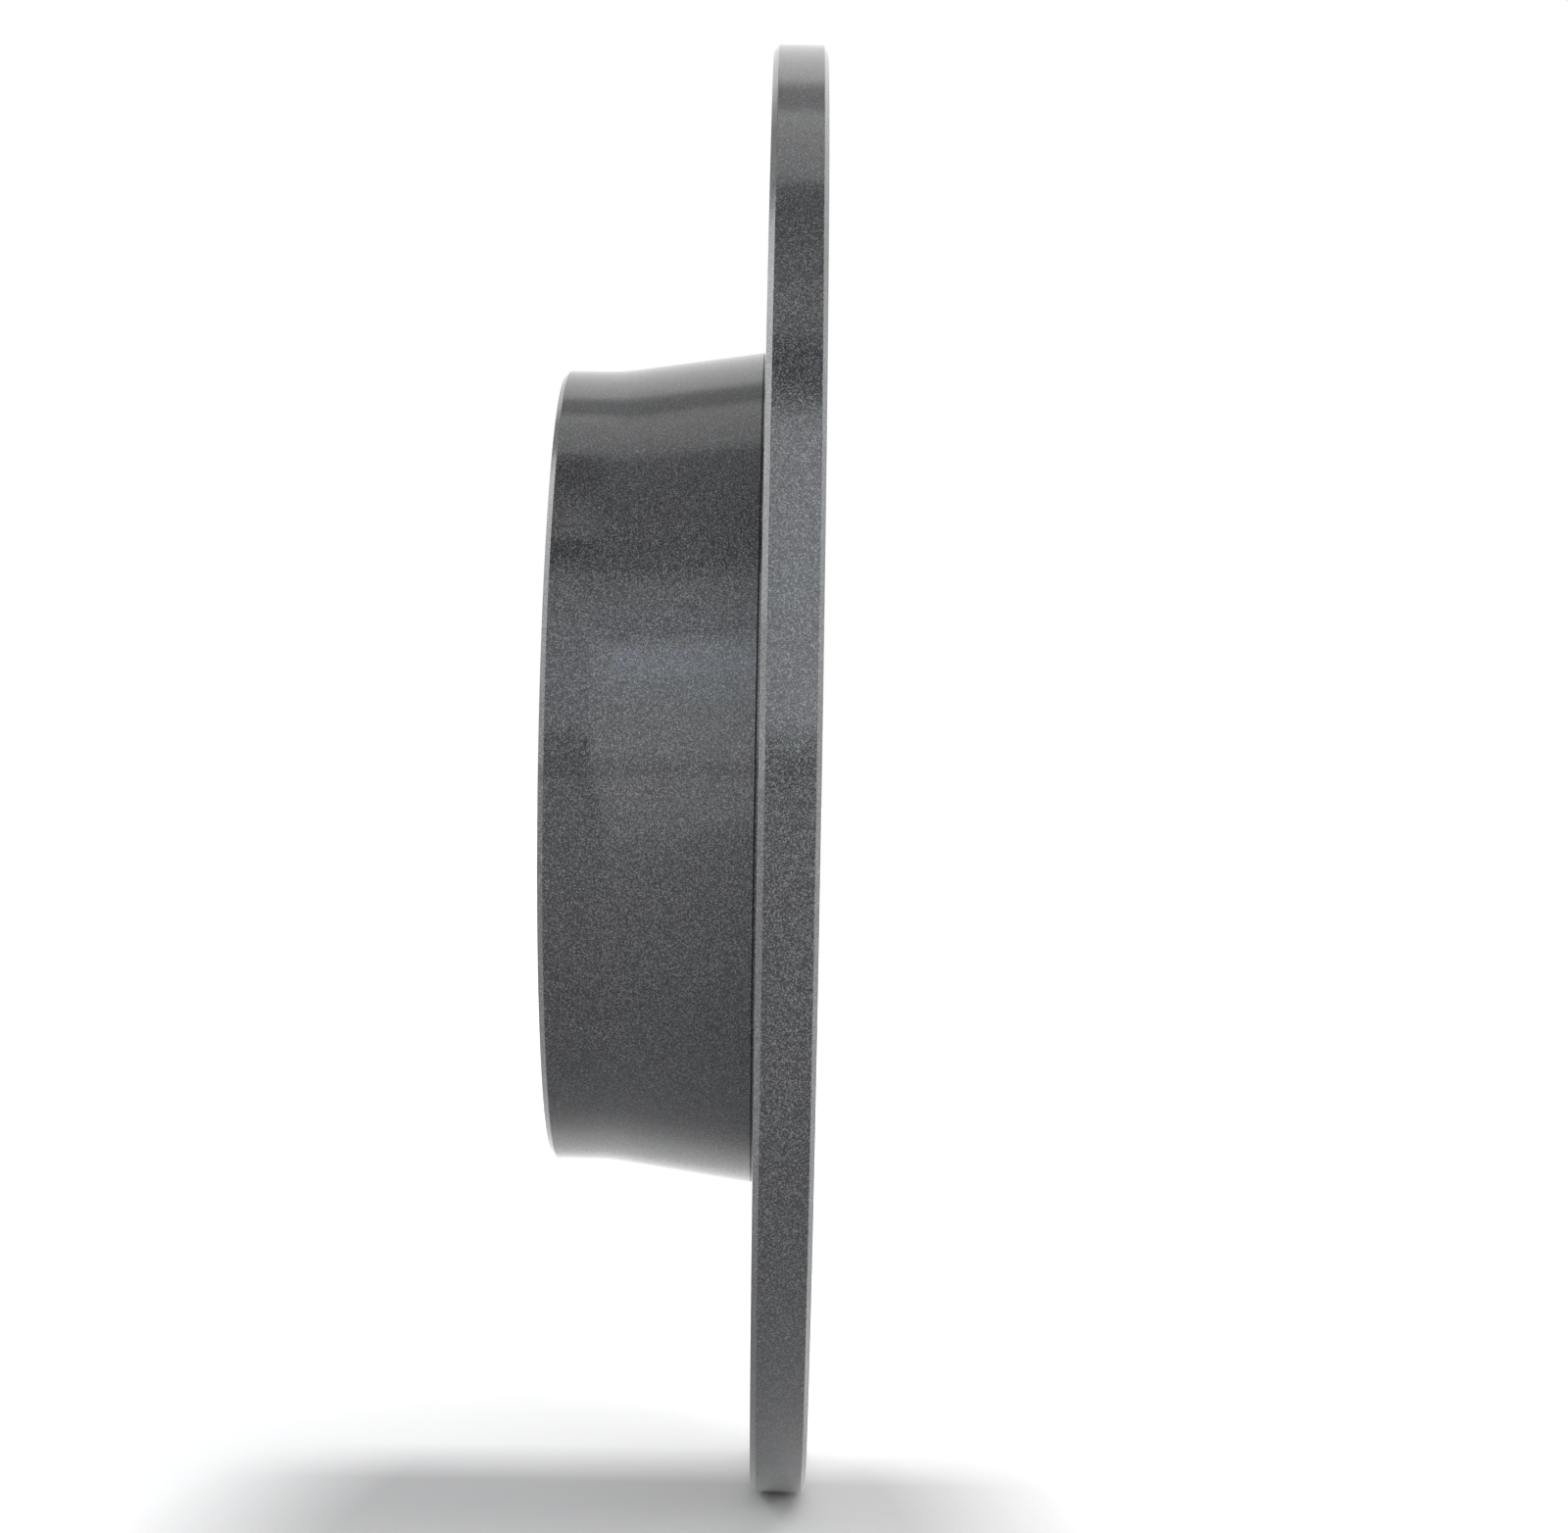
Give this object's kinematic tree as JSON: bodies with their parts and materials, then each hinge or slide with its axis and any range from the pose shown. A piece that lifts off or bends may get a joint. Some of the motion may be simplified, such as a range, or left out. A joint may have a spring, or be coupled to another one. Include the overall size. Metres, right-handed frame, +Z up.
{
  "type": "solid brake disc",
  "caption": "Coated solid brake disc: thin flat friction ring joined by a short flared hat to a bored, bolt-drilled hub face, with a countersunk retaining screw.",
  "frame": {"origin": "on the spin axis, in the plane of the hat's inner face that lies on the wheel hub, which is the centre of the wheel-bolt pattern", "axes": "Y is the spin axis, with -Y outboard towards the wheel and +Y inboard towards the hub; +Z is up, through one wheel-bolt hole, with the retaining screw straight below the axis"},
  "size_m": [0.272, 0.0484, 0.272],
  "materials": {
    "disc_coating": "glossy dark grey metallic-flake coating over grey iron",
    "screw_plating": "zinc plated steel"
  },
  "bodies": {
    "disc": {"brake_disc": "disc_coating"},
    "screw": {"retaining_screw": "screw_plating"}
  },
  "joints": [
    {"name": "retaining_screw_slide", "type": "slide", "parent": "disc", "child": "screw", "axis": [0, -1, 0], "range_m": [0, 0.02]}
  ]
}
